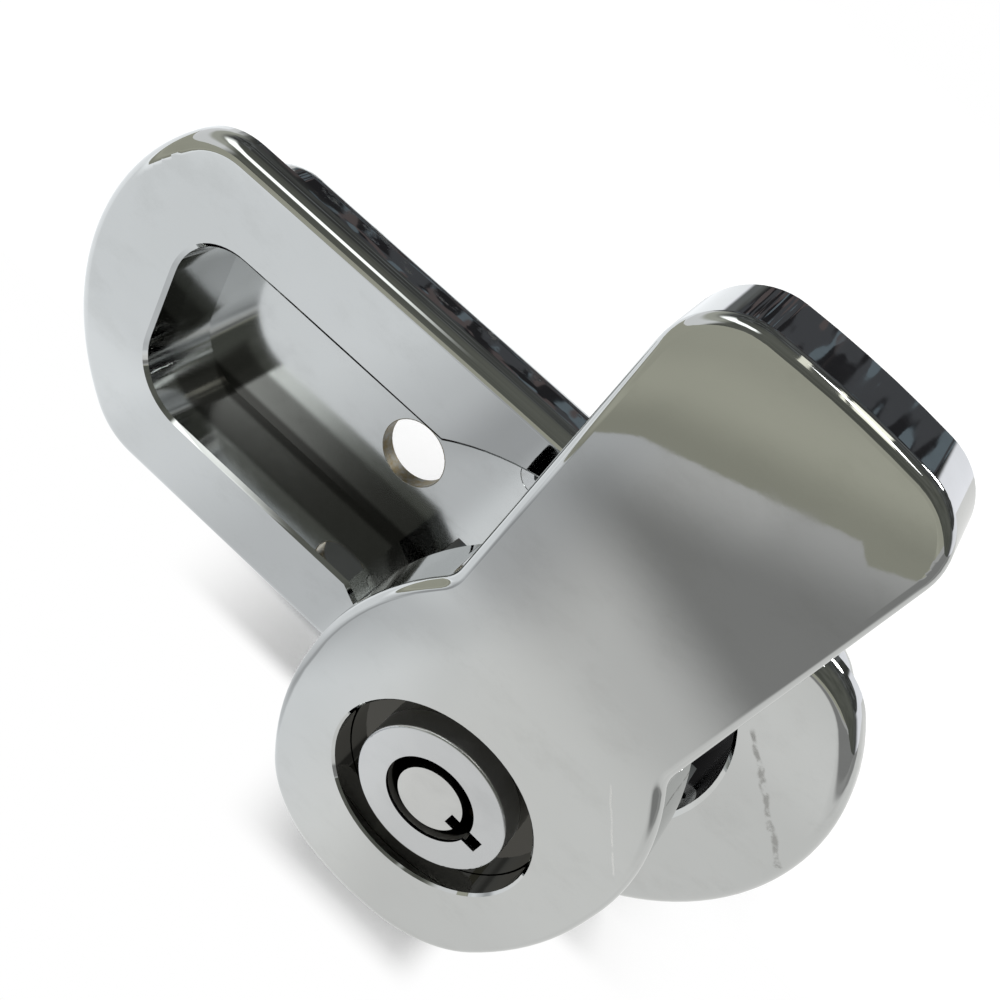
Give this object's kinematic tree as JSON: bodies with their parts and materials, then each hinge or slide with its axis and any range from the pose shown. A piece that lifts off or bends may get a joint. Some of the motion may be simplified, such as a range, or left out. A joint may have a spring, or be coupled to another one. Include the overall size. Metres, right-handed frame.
{
  "type": "vending machine lock",
  "caption": "Pop-out swing-handle lock: a chromed escutcheon with a sunk pocket, a turning lever handle with a tubular cylinder, and a rotor with a cam behind.",
  "frame": {"origin": "where the spindle's axis crosses the door's face, the plane of the plate's back", "axes": "+X along the plate towards its handle end, +Y along the spindle into the door, +Z across the plate, the way the opened arm points"},
  "size_m": [0.1072, 0.0913, 0.0809],
  "materials": {
    "chromed_casting": "polished",
    "stainless_cap": "fine satin",
    "plated_shell": "bright nickel",
    "raw_casting": "zinc-plated casting",
    "plated_steel": "zinc plated",
    "spring_steel": "bright spring wire",
    "brass": "machined"
  },
  "bodies": {
    "base": {"escutcheon": "chromed_casting", "bearing_housing": "raw_casting", "housing_screws": "plated_steel", "stop_pin": "plated_steel"},
    "spindle": {"rotor": "raw_casting", "rotor_end": "plated_steel", "cross_pin": "plated_steel", "thrust_washer": "brass", "cam": "plated_steel", "cam_washer": "plated_steel", "cam_nut": "plated_steel", "popout_spring": "spring_steel"},
    "lever": {"handle": "chromed_casting", "lock_shell": "plated_shell", "face_cap": "stainless_cap", "tumbler_pins": "brass", "plug_clip": "spring_steel", "cylinder_snap_ring": "spring_steel", "lock_dowel": "plated_steel", "stem_snap_ring": "spring_steel", "bolt_spring": "spring_steel"},
    "key_core": {"lock_plug": "chromed_casting", "driver_pins": "brass", "tumbler_springs": "spring_steel"},
    "side_bolt": {"locking_bolt": "plated_steel"}
  },
  "joints": [
    {"name": "handle_turn", "type": "hinge", "parent": "base", "child": "spindle", "pos_m": [0, 0, 0], "axis": [0, 1, 0], "range_deg": [-92.2, 0]},
    {"name": "handle_push", "type": "slide", "parent": "spindle", "child": "lever", "axis": [0, 1, 0], "range_m": [0, 0.015], "stiffness_N_per_m": 300, "springref_m": -0.02, "deforming": ["popout_spring"]},
    {"name": "key_turn", "type": "hinge", "parent": "lever", "child": "key_core", "pos_m": [0, 0, 0], "axis": [0, 1, 0], "range_deg": [0, 90]},
    {"name": "bolt_slide", "type": "slide", "parent": "lever", "child": "side_bolt", "axis": [0.0384, 0, 0.9993], "range_m": [0, 0.0022], "stiffness_N_per_m": 100, "springref_m": -0.002, "deforming": ["bolt_spring"]}
  ],
  "couplings": [
    {"joint": "key_turn", "follows": "bolt_slide", "rad_per_m": 713.83}
  ]
}
